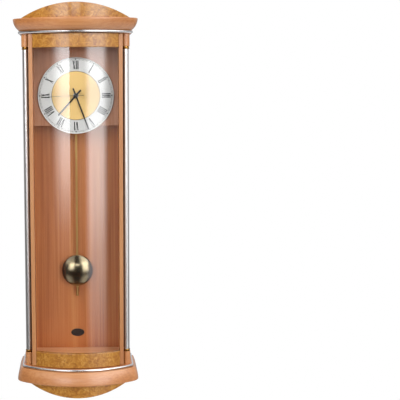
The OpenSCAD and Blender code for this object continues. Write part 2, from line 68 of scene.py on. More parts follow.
# ---- Studio ----
# A white room with two tall soft boxes in front of the clock, to the left and right of the camera, that
# fade towards their feet, two lights above them, a strip over the camera and one small lamp close by.
# Round the camera the room is dark: bent glass and metal mirror the boxes and the dark between them.

bpy.context.scene.view_settings.view_transform = "Standard"


def linear(code):
    """A six-figure hex colour, as linear red, green, blue and alpha."""
    parts = [int(code[i : i + 2], 16) / 255 for i in (0, 2, 4)]
    return [p / 12.92 if p <= 0.04045 else ((p + 0.055) / 1.055) ** 2.4 for p in parts] + [1.0]


def node(tree, kind, inputs=None, stops=None, **settings):
    """Adds a node: its settings, a value or a socket for each input, and a colour ramp's stops."""
    made = tree.nodes.new(kind)
    for key, value in settings.items():
        setattr(made, key, value)
    for key, value in (inputs or {}).items():
        if isinstance(value, bpy.types.NodeSocket):
            tree.links.new(value, made.inputs[key])
        else:
            made.inputs[key].default_value = value
    if stops:
        steps = made.color_ramp.elements
        while len(steps) < len(stops):
            steps.new(0.5)
        for step, (place, code) in zip(steps, stops):
            step.position = place
            step.color = linear(code) if isinstance(code, str) else (code, code, code, 1.0)
    return made


world = bpy.data.worlds.new("studio")
bpy.context.scene.world = world
world.use_nodes = True
tree = world.node_tree
tree.nodes.clear()
direction = node(tree, "ShaderNodeTexCoord").outputs["Generated"]
part = node(tree, "ShaderNodeSeparateXYZ", {0: direction})
ahead = node(tree, "ShaderNodeMath", {0: part.outputs["Y"], 1: -1.0}, operation="MULTIPLY")
azimuth = node(tree, "ShaderNodeMath", {0: part.outputs["X"], 1: ahead.outputs[0]}, operation="ARCTAN2")
# Each light: where it fades in and out across, in degrees from the camera, and up, as a slope, and
# its strength
lights = []
for left0, left1, right0, right1, fade, strength in (
    # left and right soft box, down to where they fade out
    (-35.0, -15.0, -8.8, -7.8, ((0.31, 0.0), (0.345, 0.07), (0.378, 0.27), (0.422, 0.62), (0.533, 1.0),
        (0.70, 1.0), (0.80, 0.0)), 6.0),
    (10.0, 21.0, 34.0, 45.0, ((0.20, 0.05), (0.263, 0.27), (0.324, 0.42), (0.378, 0.75), (0.443, 0.92),
        (0.72, 1.0), (0.82, 0.0)), 5.0),
    # high lights over the left and the right of the camera
    (-58.0, -46.0, -14.5, -9.0, ((0.66, 0.0), (0.78, 1.0), (0.92, 1.0), (1.0, 0.6)), 1.5),
    (4.0, 24.0, 58.0, 75.0, ((0.66, 0.0), (0.78, 1.0), (0.92, 1.0), (1.0, 0.7)), 3.8),
    # a narrow strip just over the camera
    (-5.0, -3.5, 5.0, 6.5, ((0.576, 0.0), (0.586, 1.0), (0.64, 1.0), (0.66, 0.0)), 8.0),
):
    rise = node(tree, "ShaderNodeMapRange", {"Value": azimuth.outputs[0], "From Min": math.radians(left0),
        "From Max": math.radians(left1)}, interpolation_type="SMOOTHSTEP")
    fall = node(tree, "ShaderNodeMapRange", {"Value": azimuth.outputs[0], "From Min": math.radians(right0),
        "From Max": math.radians(right1), "To Min": strength, "To Max": 0.0},
        interpolation_type="SMOOTHSTEP")
    across = node(tree, "ShaderNodeMath", {0: rise.outputs[0], 1: fall.outputs[0]}, operation="MULTIPLY")
    height = node(tree, "ShaderNodeMapRange", {"Value": part.outputs["Z"], "From Min": -0.5,
        "From Max": 0.5})
    up = node(tree, "ShaderNodeValToRGB", {"Fac": height.outputs[0]}, stops=fade)
    lights.append(node(tree, "ShaderNodeMath", {0: across.outputs[0], 1: up.outputs["Color"]},
        operation="MULTIPLY"))
# The rest of the room, by azimuth: white beside and behind the clock, dark round the camera and below
turned = node(tree, "ShaderNodeMapRange", {"Value": azimuth.outputs[0], "From Min": -math.pi,
    "From Max": math.pi})
room = node(tree, "ShaderNodeValToRGB", {"Fac": turned.outputs[0]}, stops=(
    (0.0, 0.75), (0.24, 0.60), (0.31, 0.14), (0.46, 0.10), (0.472, 0.03), (0.535, 0.03),
    (0.60, 0.20), (0.68, 0.36), (0.75, 0.75), (1.0, 0.75)))
ground = node(tree, "ShaderNodeMapRange", {"Value": part.outputs["Z"], "From Min": -0.35, "From Max": 0.05,
    "To Min": 0.35, "To Max": 1.0}, interpolation_type="SMOOTHSTEP")
walls = node(tree, "ShaderNodeMath", {0: room.outputs["Color"], 1: ground.outputs[0]}, operation="MULTIPLY")
ceiling = node(tree, "ShaderNodeMapRange", {"Value": part.outputs["Z"], "From Min": 0.8, "From Max": 0.95,
    "To Min": 0.0, "To Max": 0.8}, interpolation_type="SMOOTHSTEP")
total = node(tree, "ShaderNodeMath", {0: walls.outputs[0], 1: ceiling.outputs[0]}, operation="ADD")
bounce = node(tree, "ShaderNodeMapRange", {"Value": part.outputs["Z"], "From Min": -0.36, "From Max": -0.55,
    "To Min": 0.0, "To Max": 0.85}, interpolation_type="SMOOTHSTEP")
beside = node(tree, "ShaderNodeValToRGB", {"Fac": turned.outputs[0]}, stops=(
    (0.0, 1.0), (0.41, 1.0), (0.465, 0.05), (0.525, 0.05), (0.58, 1.0), (1.0, 1.0)))
bounce = node(tree, "ShaderNodeMath", {0: bounce.outputs[0], 1: beside.outputs["Color"]},
    operation="MULTIPLY")
total = node(tree, "ShaderNodeMath", {0: total.outputs[0], 1: bounce.outputs[0]}, operation="ADD")
for part_light in lights:
    total = node(tree, "ShaderNodeMath", {0: total.outputs[0], 1: part_light.outputs[0]}, operation="ADD")
light = node(tree, "ShaderNodeBackground", {"Color": linear("fcfdff"), "Strength": total.outputs[0]})
white = node(tree, "ShaderNodeBackground", {"Color": linear("ffffff"), "Strength": 1.0})
seen = node(tree, "ShaderNodeLightPath").outputs["Is Camera Ray"]
shown = node(tree, "ShaderNodeMixShader", {0: seen, 1: light.outputs[0], 2: white.outputs[0]})
node(tree, "ShaderNodeOutputWorld", {"Surface": shown.outputs[0]})


# A small lamp close by, high on the left: it lights that side's top more than its foot
lamp_data = bpy.data.lights.new("near_lamp", "AREA")
lamp_data.size = 0.25
lamp_data.energy = 3.0
lamp = bpy.data.objects.new("near_lamp", lamp_data)
bpy.context.scene.collection.objects.link(lamp)
lamp_aim = Vector((0.45, 0.52, -0.45)).to_track_quat("-Z", "Y")
lamp.matrix_world = Matrix.Translation((-0.50, -0.60, 0.36)) @ lamp_aim.to_matrix().to_4x4()
lamp.visible_camera = lamp.visible_glossy = False


def material(name):
    """A new material with an empty node tree, and that tree."""
    made = bpy.data.materials.new(name)
    made.use_nodes = True
    made.node_tree.nodes.clear()
    return made, made.node_tree


def surface(tree, **inputs):
    """Ends a material in one Principled surface; an input's name has _ for each space."""
    named = {key.replace("_", " "): value for key, value in inputs.items()}
    shader = node(tree, "ShaderNodeBsdfPrincipled", named)
    node(tree, "ShaderNodeOutputMaterial", {"Surface": shader.outputs[0]})


# Matt floor paint, rolled on, with a faint orange peel of about 3 mm
pale_paint, tree = material("matt_floor_paint")
place = node(tree, "ShaderNodeTexCoord").outputs["Object"]
peel = node(tree, "ShaderNodeTexNoise", {"Vector": place, "Scale": 330.0, "Detail": 3.0})
tone = node(tree, "ShaderNodeValToRGB", {"Fac": peel.outputs["Fac"]}, stops=(
    (0.3, "ececea"), (0.7, "f2f2f0")))
surface(tree, Base_Color=tone.outputs["Color"], Roughness=0.75)
bpy.ops.mesh.primitive_plane_add(size=9.0, location=(0.0, -2.6, -1.5))
floor = bpy.context.object
floor.name = "studio_floor"
floor.data.materials.append(pale_paint)
floor.visible_diffuse = floor.visible_glossy = False
bpy.ops.object.select_all(action="DESELECT")

# ---- Case ----
# Back panel, sides, inner top, floor and front jambs: steamed beech, planed, stained a warm red-brown,
# lacquered, and glued into a tall box. The jambs carry a darker copy of it as painted shade, and the floor
# a paler copy as painted light. The grain runs up the uprights and across the shelves.


def beech(name, along, tones, coat=0.6):
    """Lacquered beech with its grain along X, Y or Z, and its tones from dark to light."""
    made, tree = material(name)
    place = node(tree, "ShaderNodeTexCoord").outputs["Object"]

    def stretched(across_mm, along_mm, detail, twist=0.0):
        size = tuple(1000.0 / (along_mm if axis == along else across_mm) for axis in "XYZ")
        scaled = node(tree, "ShaderNodeMapping", {"Vector": place, "Scale": size})
        return node(tree, "ShaderNodeTexNoise", {"Vector": scaled.outputs[0], "Scale": 1.0,
            "Detail": detail, "Distortion": twist}).outputs["Fac"]

    boards = stretched(34.0, 700.0, 2.0, 0.6)
    lines = stretched(2.6, 260.0, 5.0)
    pores = stretched(0.5, 5.0, 1.0)
    figure = node(tree, "ShaderNodeMix", {"Factor": 0.45, "A": boards, "B": lines})
    tone = node(tree, "ShaderNodeValToRGB", {"Fac": figure.outputs[0]}, stops=(
        (0.32, tones[0]), (0.48, tones[1]), (0.64, tones[2])))
    fleck = node(tree, "ShaderNodeMapRange", {"Value": pores, "From Min": 0.60, "From Max": 0.72,
        "To Max": 0.32})
    colour = node(tree, "ShaderNodeMix", {"Factor": fleck.outputs[0], "A": tone.outputs["Color"],
        "B": linear(tones[3])}, data_type="RGBA")
    sheen = node(tree, "ShaderNodeMapRange", {"Value": lines, "To Min": 0.40, "To Max": 0.56})
    relief = node(tree, "ShaderNodeBump", {"Height": lines, "Strength": 0.10, "Distance": 0.0002})
    surface(tree, Base_Color=colour.outputs["Result"], Roughness=sheen.outputs[0], Coat_Weight=coat,
        Coat_Roughness=0.26, Coat_IOR=1.5, Normal=relief.outputs[0])
    return made


def dress(finish, *names):
    """Gives CAD pieces a finish."""
    for name in names:
        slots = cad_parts[name].data.materials
        slots.clear()
        slots.append(finish)


def settle(name, body, slot, finish, *stands_for, angle=40):
    """Finishes the piece being modelled: its mesh in place, smooth, with its finish and its body."""
    if bpy.context.mode != "OBJECT":
        bpy.ops.object.mode_set(mode="OBJECT")
    piece = bpy.context.object
    piece.name = piece.data.name = name
    bpy.ops.object.transform_apply(location=True, rotation=True, scale=True)
    bpy.ops.object.shade_smooth_by_angle(angle=math.radians(angle))
    piece.data.materials.clear()
    piece.data.materials.append(finish)
    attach(piece, body)
    if stands_for:
        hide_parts(*stands_for)
    bpy.ops.object.select_all(action="DESELECT")


weld = 0.000002


def ease(source, name, body, finish, width, steps=2):
    """A merged copy of a CAD piece with its arrises rounded to a width, as sandpaper leaves them."""
    piece = bpy.data.objects.new(name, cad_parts[source].data.copy())
    bpy.context.scene.collection.objects.link(piece)
    bpy.context.view_layer.objects.active = piece
    piece.select_set(True)
    bpy.ops.object.mode_set(mode="EDIT")
    bpy.ops.mesh.select_all(action="SELECT")
    bpy.ops.mesh.remove_doubles(threshold=2 * weld)
    bpy.ops.mesh.dissolve_limited(angle_limit=math.radians(0.4))
    bpy.ops.object.mode_set(mode="OBJECT")
    round_over = piece.modifiers.new("round_over", "BEVEL")
    round_over.width = width
    round_over.segments = steps
    round_over.limit_method = "ANGLE"
    round_over.angle_limit = math.radians(42)
    bpy.ops.object.modifier_apply(modifier=round_over.name)
    bpy.ops.object.shade_smooth_by_angle(angle=math.radians(50))
    even = piece.modifiers.new("even", "WEIGHTED_NORMAL")
    even.keep_sharp = True
    bpy.ops.object.modifier_apply(modifier=even.name)
    piece.data.materials.clear()
    piece.data.materials.append(finish)
    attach(piece, body)
    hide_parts(source)
    bpy.ops.object.select_all(action="DESELECT")


stained = ("aa5b27", "c1733a", "ce874b", "7e411c")
beech_up = beech("stained_beech_upright", "Z", stained)
beech_across = beech("stained_beech_across", "X", stained)
dress(beech_up, "back_panel")
arris = 0.0006
for source, name in (("left_side", "left_side_panel"), ("right_side", "right_side_panel")):
    ease(source, name, "case", beech_up, arris)
# Painted shade: the jambs get a darker copy of the stained beech for the shade that falls on them
jamb_beech_painted_shade = beech("beech_jamb_painted_shade", "Z", ("4e2610", "5e3014", "6b3a1b", "3a1a0a"))
ease("front_jambs", "door_jambs", "case", jamb_beech_painted_shade, arris)
for source, name in (("case_top", "inner_top"), ("hanging_rail", "hanging_batten")):
    ease(source, name, "case", beech_across, arris)
# Painted light: the floor gets a paler copy of the beech for the light that falls on it through the glass
floor_beech_painted_light = beech("beech_floor_painted_light", "X", ("dc9c64", "eaad78", "f2bc8c", "b5794a"))
ease("floor_board", "case_floor", "case", floor_beech_painted_light, arris)

# ---- Crown and base mouldings ----
# Solid beech lengths run on a spindle moulder, bent or mitred round the bowed front and the two corners,
# then glued to the crown and base boards. They are lighter than the case, and their arrises are rounded.

pale = ("a26431", "b5743e", "c08450", "7c4620")
beech_round = beech("lacquered_beech_moulding", "X", pale, 1.0)
beech_block = beech("lacquered_beech_upright", "Z", pale, 0.9)
column_x, column_y = 0.093, -0.0684
bow = 0.161
bow_y = column_y + math.sqrt(bow**2 - column_x**2)
front_angle = math.asin(column_x / bow)


def pick(kind, wanted):
    """In edit mode, selects the vertices, edges or faces whose middle passes a test."""
    bpy.ops.mesh.select_all(action="DESELECT")
    bpy.ops.mesh.select_mode(type=kind)
    mesh = bmesh.from_edit_mesh(bpy.context.edit_object.data)
    place = bpy.context.edit_object.matrix_world
    for item in {"VERT": mesh.verts, "EDGE": mesh.edges, "FACE": mesh.faces}[kind]:
        corners = [item] if kind == "VERT" else item.verts
        if wanted(place @ (sum((corner.co for corner in corners), Vector()) / len(corners))):
            item.select_set(True)
    mesh.select_flush_mode()
    bmesh.update_edit_mesh(bpy.context.edit_object.data)


def run_round():
    """Runs the profile that stands at the wall, on the left, round the three sides of the clock."""
    bpy.ops.mesh.select_all(action="SELECT")
    bpy.ops.mesh.delete(type="ONLY_FACE")
    bpy.ops.mesh.select_all(action="SELECT")
    bpy.ops.mesh.extrude_region_move(TRANSFORM_OT_translate={"value": (0.0, column_y, 0.0)})
    corner = math.pi / 2 - front_angle
    bpy.ops.mesh.spin(steps=14, angle=-corner, center=(-column_x, column_y, 0.0), axis=(0, 0, 1))
    bpy.ops.mesh.spin(steps=48, angle=-2 * front_angle, center=(0.0, bow_y, 0.0), axis=(0, 0, 1))
    bpy.ops.mesh.spin(steps=14, angle=-corner, center=(column_x, column_y, 0.0), axis=(0, 0, 1))
    bpy.ops.mesh.extrude_region_move(TRANSFORM_OT_translate={"value": (0.0, -column_y, 0.0)})
    for side in (-1, 1):
        pick("EDGE", lambda middle: abs(middle.y) < 1e-6 and middle.x * side > 0)
        bpy.ops.mesh.edge_face_add()
    bpy.ops.mesh.select_all(action="SELECT")
    bpy.ops.mesh.remove_doubles(threshold=weld)
    bpy.ops.mesh.normals_make_consistent(inside=False)


def cut_profile(radius, centre, keep):
    """A disc at the wall, on the left, cut down by planes to a moulding's profile."""
    bpy.ops.mesh.primitive_circle_add(vertices=128, radius=radius, fill_type="NGON",
        location=(-column_x - centre[0], 0.0, centre[1]), rotation=(math.pi / 2, 0.0, 0.0))
    bpy.ops.object.transform_apply(location=True, rotation=True, scale=True)
    bpy.ops.object.mode_set(mode="EDIT")
    for spot, normal in keep:
        bpy.ops.mesh.select_all(action="SELECT")
        bpy.ops.mesh.bisect(plane_co=spot, plane_no=normal, clear_outer=True)


overhang = 0.022
for name, part, sides, lift, draw in (
    ("crown_cornice", "crown_moulding", "crown_returns", 1, 0.012),
    ("base_skirting", "base_moulding", "base_returns", -1, 0.006),
):
    thin_z, wide_z = sorted((corner[2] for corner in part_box(part)), reverse=lift < 0)
    tall = abs(wide_z - thin_z)
    arc = (tall**2 + draw**2) / (2 * draw)
    cut_profile(arc, (overhang - arc, wide_z), (
        ((0, 0, wide_z), (0, 0, lift)), ((0, 0, thin_z), (0, 0, -lift)), ((-column_x, 0, 0), (1, 0, 0))))
    pick("VERT", lambda middle: abs(middle.z - wide_z) < 1e-5 and middle.x < -column_x - 0.02)
    bpy.ops.mesh.bevel(offset=0.0013, segments=4, affect="VERTICES")
    run_round()
    settle(name, "case", "beech", beech_round, part, sides, angle=35)
for source, name in (("crown_board", "crown_shelf"), ("base_board", "base_shelf")):
    ease(source, name, "case", beech_across, 0.0008)
for source, name in (("capitals", "capital_blocks"), ("plinth_blocks", "foot_blocks")):
    ease(source, name, "case", beech_block, 0.0007)

# ---- Burl panels ----
# The arched crown panel and the apron: bent plywood faced with a golden burl veneer under gloss lacquer.
# The veneer swirls round small dark eyes, and its edges are eased by sanding.


def burl(name, tones):
    """Golden burl: clouds and curls of tone, dark eyes a few millimetres wide, and hairline cracks."""
    swirl_mm, eye_mm, patch_mm, vein_mm = 10.0, 7.0, 24.0, 9.0
    made, tree = material(name)
    place = node(tree, "ShaderNodeTexCoord").outputs["Object"]
    drift = node(tree, "ShaderNodeTexNoise", {"Vector": place, "Scale": 1000.0 / (3 * swirl_mm),
        "Detail": 3.0})
    pulled = node(tree, "ShaderNodeVectorMath", {0: drift.outputs["Color"], "Scale": 0.022},
        operation="SCALE")
    warped = node(tree, "ShaderNodeVectorMath", {0: place, 1: pulled.outputs[0]},
        operation="ADD").outputs[0]
    clouds = node(tree, "ShaderNodeTexNoise", {"Vector": warped, "Scale": 1000.0 / swirl_mm, "Detail": 7.0,
        "Roughness": 0.62, "Distortion": 1.6})
    tone = node(tree, "ShaderNodeValToRGB", {"Fac": clouds.outputs["Fac"]}, stops=(
        (0.30, tones[0]), (0.44, tones[1]), (0.55, tones[2]), (0.70, tones[3])))
    cells = node(tree, "ShaderNodeTexVoronoi", {"Vector": warped, "Scale": 1000.0 / eye_mm})
    eyes = node(tree, "ShaderNodeMapRange", {"Value": cells.outputs["Distance"], "From Min": 0.10,
        "From Max": 0.26, "To Min": 0.75, "To Max": 0.0})
    spread = node(tree, "ShaderNodeTexNoise", {"Vector": place, "Scale": 1000.0 / patch_mm, "Detail": 2.0})
    some = node(tree, "ShaderNodeMapRange", {"Value": spread.outputs["Fac"], "From Min": 0.46,
        "From Max": 0.60})
    dots = node(tree, "ShaderNodeMath", {0: eyes.outputs[0], 1: some.outputs[0]}, operation="MULTIPLY")
    veins = node(tree, "ShaderNodeTexNoise", {"Vector": warped, "Scale": 1000.0 / vein_mm, "Detail": 4.0,
        "Distortion": 2.2})
    ridge = node(tree, "ShaderNodeMath", {0: veins.outputs["Fac"], 1: 0.5}, operation="SUBTRACT")
    near = node(tree, "ShaderNodeMath", {0: ridge.outputs[0]}, operation="ABSOLUTE")
    cracks = node(tree, "ShaderNodeMapRange", {"Value": near.outputs[0], "From Min": 0.0, "From Max": 0.022,
        "To Min": 0.55, "To Max": 0.0})
    marks = node(tree, "ShaderNodeMath", {0: dots.outputs[0], 1: cracks.outputs[0]}, operation="MAXIMUM")
    colour = node(tree, "ShaderNodeMix", {"Factor": marks.outputs[0], "A": tone.outputs["Color"],
        "B": linear(tones[4])}, data_type="RGBA")
    relief = node(tree, "ShaderNodeBump", {"Height": clouds.outputs["Fac"], "Strength": 0.05,
        "Distance": 0.0002})
    surface(tree, Base_Color=colour.outputs["Result"], Roughness=0.34, Coat_Weight=0.6, Coat_Roughness=0.10,
        Coat_IOR=1.45, Normal=relief.outputs[0])
    return made


golden = ("875017", "9e651f", "af782c", "c59149", "693e13")
burl_veneer = burl("lacquered_burl_veneer", golden)
for source, name in (("crown_arch", "crown_pediment"), ("base_apron", "arched_apron")):
    ease(source, name, "case", burl_veneer, 0.0009, 3)

# ---- Metal bands ----
# Half-round aluminium strip, polished and clear anodised, bent round the edges of the crown and base boards
# in one length. It mirrors the room in thin bright lines.

satin_aluminium, tree = material("anodised_aluminium")
place = node(tree, "ShaderNodeTexCoord").outputs["Object"]
haze = node(tree, "ShaderNodeTexNoise", {"Vector": place, "Scale": 400.0, "Detail": 3.0})
gloss = node(tree, "ShaderNodeMapRange", {"Value": haze.outputs["Fac"], "To Min": 0.14, "To Max": 0.24})
tone = node(tree, "ShaderNodeValToRGB", {"Fac": haze.outputs["Fac"]}, stops=(
    (0.3, "cfcccb"), (0.7, "dcdad9")))
surface(tree, Base_Color=tone.outputs["Color"], Metallic=1.0, Roughness=gloss.outputs[0])
for name, part in (("crown_metal_band", "crown_band"), ("base_metal_band", "base_band")):
    low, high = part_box(part)
    middle = (low[2] + high[2]) / 2
    cut_profile(0.0025, (0.0105, middle), (((-column_x - 0.010, 0, 0), (1, 0, 0)),))
    run_round()
    settle(name, "case", "satin_aluminium", satin_aluminium, part, angle=40)

# ---- Columns ----
# Two drawn aluminium tubes, satin and anodised, held between the blocks, each with a turned brass ring at
# its top and foot. The rings have a groove next to the block and a rounded bead towards the tube.

drawn_aluminium, tree = material("drawn_aluminium_tube")
place = node(tree, "ShaderNodeTexCoord").outputs["Object"]
lengthways = node(tree, "ShaderNodeMapping", {"Vector": place, "Scale": (1600.0, 1600.0, 5.0)})
draw_lines = node(tree, "ShaderNodeTexNoise", {"Vector": lengthways.outputs[0], "Scale": 1.0,
    "Detail": 2.0})
gloss = node(tree, "ShaderNodeMapRange", {"Value": draw_lines.outputs["Fac"],
    "To Min": 0.28, "To Max": 0.34})
tone = node(tree, "ShaderNodeValToRGB", {"Fac": draw_lines.outputs["Fac"]}, stops=(
    (0.3, "cbc6c3"), (0.7, "d3cfcc")))
surface(tree, Base_Color=tone.outputs["Color"], Metallic=1.0, Roughness=gloss.outputs[0])

# Brass, turned and lacquered: fine rings from the tool, a warm yellow that mirrors softly
turned_brass, tree = material("turned_brass")
place = node(tree, "ShaderNodeTexCoord").outputs["Object"]
tool = node(tree, "ShaderNodeMapping", {"Vector": place, "Scale": (60.0, 60.0, 3000.0)})
rings = node(tree, "ShaderNodeTexNoise", {"Vector": tool.outputs[0], "Scale": 1.0, "Detail": 2.0})
gloss = node(tree, "ShaderNodeMapRange", {"Value": rings.outputs["Fac"], "To Min": 0.10, "To Max": 0.24})
tone = node(tree, "ShaderNodeValToRGB", {"Fac": rings.outputs["Fac"]}, stops=(
    (0.3, "93692f"), (0.7, "a87c3c")))
surface(tree, Base_Color=tone.outputs["Color"], Metallic=1.0, Roughness=gloss.outputs[0])


def turn(profile, centre, axis, steps=128):
    """Spins a closed chain of (radius, place along the axis) points about an upright or a level line."""
    bpy.ops.mesh.primitive_circle_add(vertices=len(profile), radius=0.001)
    if bpy.context.mode == "OBJECT":
        bpy.ops.object.transform_apply(location=True)
        bpy.ops.object.mode_set(mode="EDIT")
    mesh = bmesh.from_edit_mesh(bpy.context.edit_object.data)
    chain = [vertex for vertex in mesh.verts if vertex.select]
    for vertex, (radius, place) in zip(chain, profile):
        vertex.co = (centre[0] + radius, *((place, centre[2]) if axis == "Y" else (centre[1], place)))
    bmesh.update_edit_mesh(bpy.context.edit_object.data)
    bpy.ops.mesh.spin(steps=steps, angle=2 * math.pi, center=centre,
        axis=(0, int(axis == "Y"), int(axis == "Z")))
    bpy.ops.mesh.select_all(action="SELECT")
    bpy.ops.mesh.remove_doubles(threshold=weld)
    bpy.ops.mesh.normals_make_consistent(inside=False)


collar_low, collar_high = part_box("column_collars")
tube_low, tube_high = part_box("columns")
tube_r, ring_r = tube_high[0] - column_x, collar_high[0] - column_x
bore_r = tube_r - 0.001
wall = [(bore_r, tube_low[2]), (tube_r, tube_low[2]), (tube_r, tube_high[2]), (bore_r, tube_high[2])]
both_sides = (("left", -column_x), ("right", column_x))
for side, x in both_sides:
    turn(wall, (x, column_y, 0.0), "Z", 64)
    settle(f"{side}_column", "case", "satin_aluminium", drawn_aluminium, "columns", angle=40)
bead_r, bead_half, bead_middle = 0.0014, 0.0016, 0.0034
bead = [(ring_r - bead_r + bead_r * math.cos(angle), bead_middle + bead_half * math.sin(angle))
    for angle in [math.radians(-80 + 16 * step) for step in range(11)]]
inside = tube_r + 0.00005
neck = tube_r + 0.0003
for side, x in both_sides:
    for end, block_z, away in (("top", collar_high[2], -1), ("foot", collar_low[2], 1)):
        ring = [(inside, 0.0), (neck, 0.0), (neck, 0.0016)] + bead + [(inside, 0.005)]
        turn([(radius, block_z + away * out) for radius, out in ring], (x, column_y, 0.0), "Z", 64)
        settle(f"{side}_{end}_ring", "case", "brass", turned_brass, "column_collars", angle=40)

# ---- Dial board ----
# A thin beech board across the case in front of the movement. It stands in the shade of the crown, so it
# reads darker and redder than the panel behind it. The movement's threaded bush passes through it.

beech_dial = beech("dial_board_beech", "Z", ("b06a44", "c4835c", "d09674", "8a4f31"))
ease("dial_board", "movement_board", "case", beech_dial, 0.0004)

# ---- Dial ----
# A brass-coloured anodised centre with a silvered, spun chapter ring over it. The ring has a raised,
# white-bright rim, and the numerals and the minute track are printed in black enamel.

ring_low, ring_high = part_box("chapter_ring")
dial = Vector((0.0, 0.0, (ring_low[2] + ring_high[2]) / 2))
dial_radius = (ring_high[0] - ring_low[0]) / 2
plate_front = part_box("dial_plate")[0][1]
ring_front = plate_front - 0.0015
opening = 0.046
rim_inside = dial_radius - 0.0024


def spun_metal(name, tones, rough, brushed, rings_mm=0.5):
    """Spun metal: fine rings about the dial's axis, which draw each light out into a bright sector."""
    made, tree = material(name)
    place = node(tree, "ShaderNodeTexCoord").outputs["Object"]
    centred = node(tree, "ShaderNodeVectorMath", {0: place, 1: tuple(dial)}, operation="SUBTRACT")
    flat = node(tree, "ShaderNodeVectorMath", {0: centred.outputs[0], 1: (1.0, 0.0, 1.0)},
        operation="MULTIPLY").outputs[0]
    radius = node(tree, "ShaderNodeVectorMath", {0: flat}, operation="LENGTH").outputs["Value"]
    ring_place = node(tree, "ShaderNodeCombineXYZ", {0: radius, 1: 0.0, 2: 0.0})
    rings = node(tree, "ShaderNodeTexNoise", {"Vector": ring_place.outputs[0], "Scale": 1000.0 / rings_mm,
        "Detail": 4.0})
    along = node(tree, "ShaderNodeVectorMath", {0: flat, 1: (0.0, 1.0, 0.0)}, operation="CROSS_PRODUCT")
    tangent = node(tree, "ShaderNodeVectorMath", {0: along.outputs[0]}, operation="NORMALIZE").outputs[0]
    tone = node(tree, "ShaderNodeValToRGB", {"Fac": rings.outputs["Fac"]}, stops=(
        (0.3, tones[0]), (0.7, tones[1])))
    gloss = node(tree, "ShaderNodeMapRange", {"Value": rings.outputs["Fac"], "To Min": rough * 0.85,
        "To Max": rough * 1.15})
    relief = node(tree, "ShaderNodeBump", {"Height": rings.outputs["Fac"], "Strength": 0.08,
        "Distance": 0.00005})
    surface(tree, Base_Color=tone.outputs["Color"], Metallic=1.0, Roughness=gloss.outputs[0],
        Anisotropic=brushed, Tangent=tangent, Normal=relief.outputs[0])
    return made


silvered = spun_metal("silvered_spun_brass", ("cccccc", "dfdfdf"), 0.44, 0.15)
gilt = spun_metal("gilt_anodised_plate", ("e0bb78", "ebca8c"), 0.45, 0.4, 0.35)
dress(gilt, "dial_plate")
turn([(opening, plate_front), (opening, ring_front + 0.0003), (opening + 0.0003, ring_front),
    (rim_inside, ring_front), (rim_inside, plate_front)], dial, "Y")
settle("spun_chapter_ring", "case", "spun_aluminium", silvered, "chapter_ring", angle=30)

# The rim: turned with a rounded bevel and lacquered a clean white, so that it catches every light
white_lacquer, tree = material("white_lacquered_rim")
place = node(tree, "ShaderNodeTexCoord").outputs["Object"]
film = node(tree, "ShaderNodeTexNoise", {"Vector": place, "Scale": 600.0, "Detail": 2.0})
tone = node(tree, "ShaderNodeValToRGB", {"Fac": film.outputs["Fac"]}, stops=(
    (0.3, "e4e4e2"), (0.7, "efefed")))
surface(tree, Base_Color=tone.outputs["Color"], Roughness=0.3, Coat_Weight=0.8, Coat_Roughness=0.1)
turn([(rim_inside, plate_front), (rim_inside, ring_front - 0.0003),
    (dial_radius - 0.0020, ring_front - 0.0008), (dial_radius - 0.0013, ring_front - 0.001),
    (dial_radius - 0.0005, ring_front - 0.0009), (dial_radius, ring_front - 0.0004),
    (dial_radius, plate_front)], dial, "Y")
settle("white_dial_rim", "case", "spun_aluminium", white_lacquer, "chapter_ring", angle=50)

# Black enamel ink, screen printed: nearly matt, with a very slight mottle
ink, tree = material("printed_black_enamel")
place = node(tree, "ShaderNodeTexCoord").outputs["Object"]
mottle = node(tree, "ShaderNodeTexNoise", {"Vector": place, "Scale": 2500.0, "Detail": 2.0})
tone = node(tree, "ShaderNodeValToRGB", {"Fac": mottle.outputs["Fac"]}, stops=(
    (0.3, "0a0a0a"), (0.7, "121110")))
surface(tree, Base_Color=tone.outputs["Color"], Roughness=0.6)
ink_depth = 0.00004


def stroke(turned, across, out, length, width, tilt=0.0):
    """One printed stroke; across and out are its middle, on the dial turned clockwise by an angle."""
    spot = Matrix.Rotation(turned, 3, "Y") @ Vector((across, 0.0, out)) + dial
    bpy.ops.mesh.primitive_cube_add(size=1.0, location=(spot.x, ring_front - ink_depth / 2, spot.z),
        rotation=(0.0, turned + tilt, 0.0), scale=(width, ink_depth, length))
    if bpy.context.mode == "OBJECT":
        bpy.ops.object.transform_apply(location=True, rotation=True, scale=True)
        bpy.ops.object.mode_set(mode="EDIT")


def line(radius, width, front):
    """A fine printed circle round the dial."""
    half = width / 2
    turn([(radius - half, front), (radius - half, front - ink_depth), (radius + half, front - ink_depth),
        (radius + half, front)], dial, "Y")


foot, head = 0.690 * dial_radius, 0.906 * dial_radius
letter = head - foot
serif, thick, thin = 0.0005, 0.0019, 0.0009
widths = {"I": 0.0031, "V": 0.0058, "X": 0.0058}
hours = ("XII", "I", "II", "III", "IIII", "V", "VI", "VII", "VIII", "IX", "X", "XI")
for hour, numeral in enumerate(hours):
    turned = math.radians(30 * hour)
    across = -sum(widths[sign] for sign in numeral) / 2
    middle = (foot + head) / 2
    for sign in numeral:
        centre = across + widths[sign] / 2
        if sign == "I":
            stroke(turned, centre, middle, letter, 0.0020)
            feet = ((0.0, foot, 0.0029), (0.0, head, 0.0029))
        elif sign == "V":
            lean_in = math.atan(0.0018 / letter)
            stroke(turned, centre - 0.0011, middle, letter, thick, -lean_in)
            stroke(turned, centre + 0.0012, middle, letter, thin, lean_in)
            feet = ((-0.0016, head, 0.0023), (0.0018, head, 0.0018))
        else:
            slope = math.atan(0.0033 / letter)
            stroke(turned, centre, middle, letter, thick, -slope)
            stroke(turned, centre, middle, letter, thin, slope)
            feet = ((-0.0016, head, 0.0022), (0.0016, head, 0.0018),
                (-0.0016, foot, 0.0018), (0.0016, foot, 0.0022))
        for offset, out, width in feet:
            stroke(turned, centre + offset, out, serif, width)
        across += widths[sign]
settle("hour_numerals", "case", "black_paint", ink, angle=30)

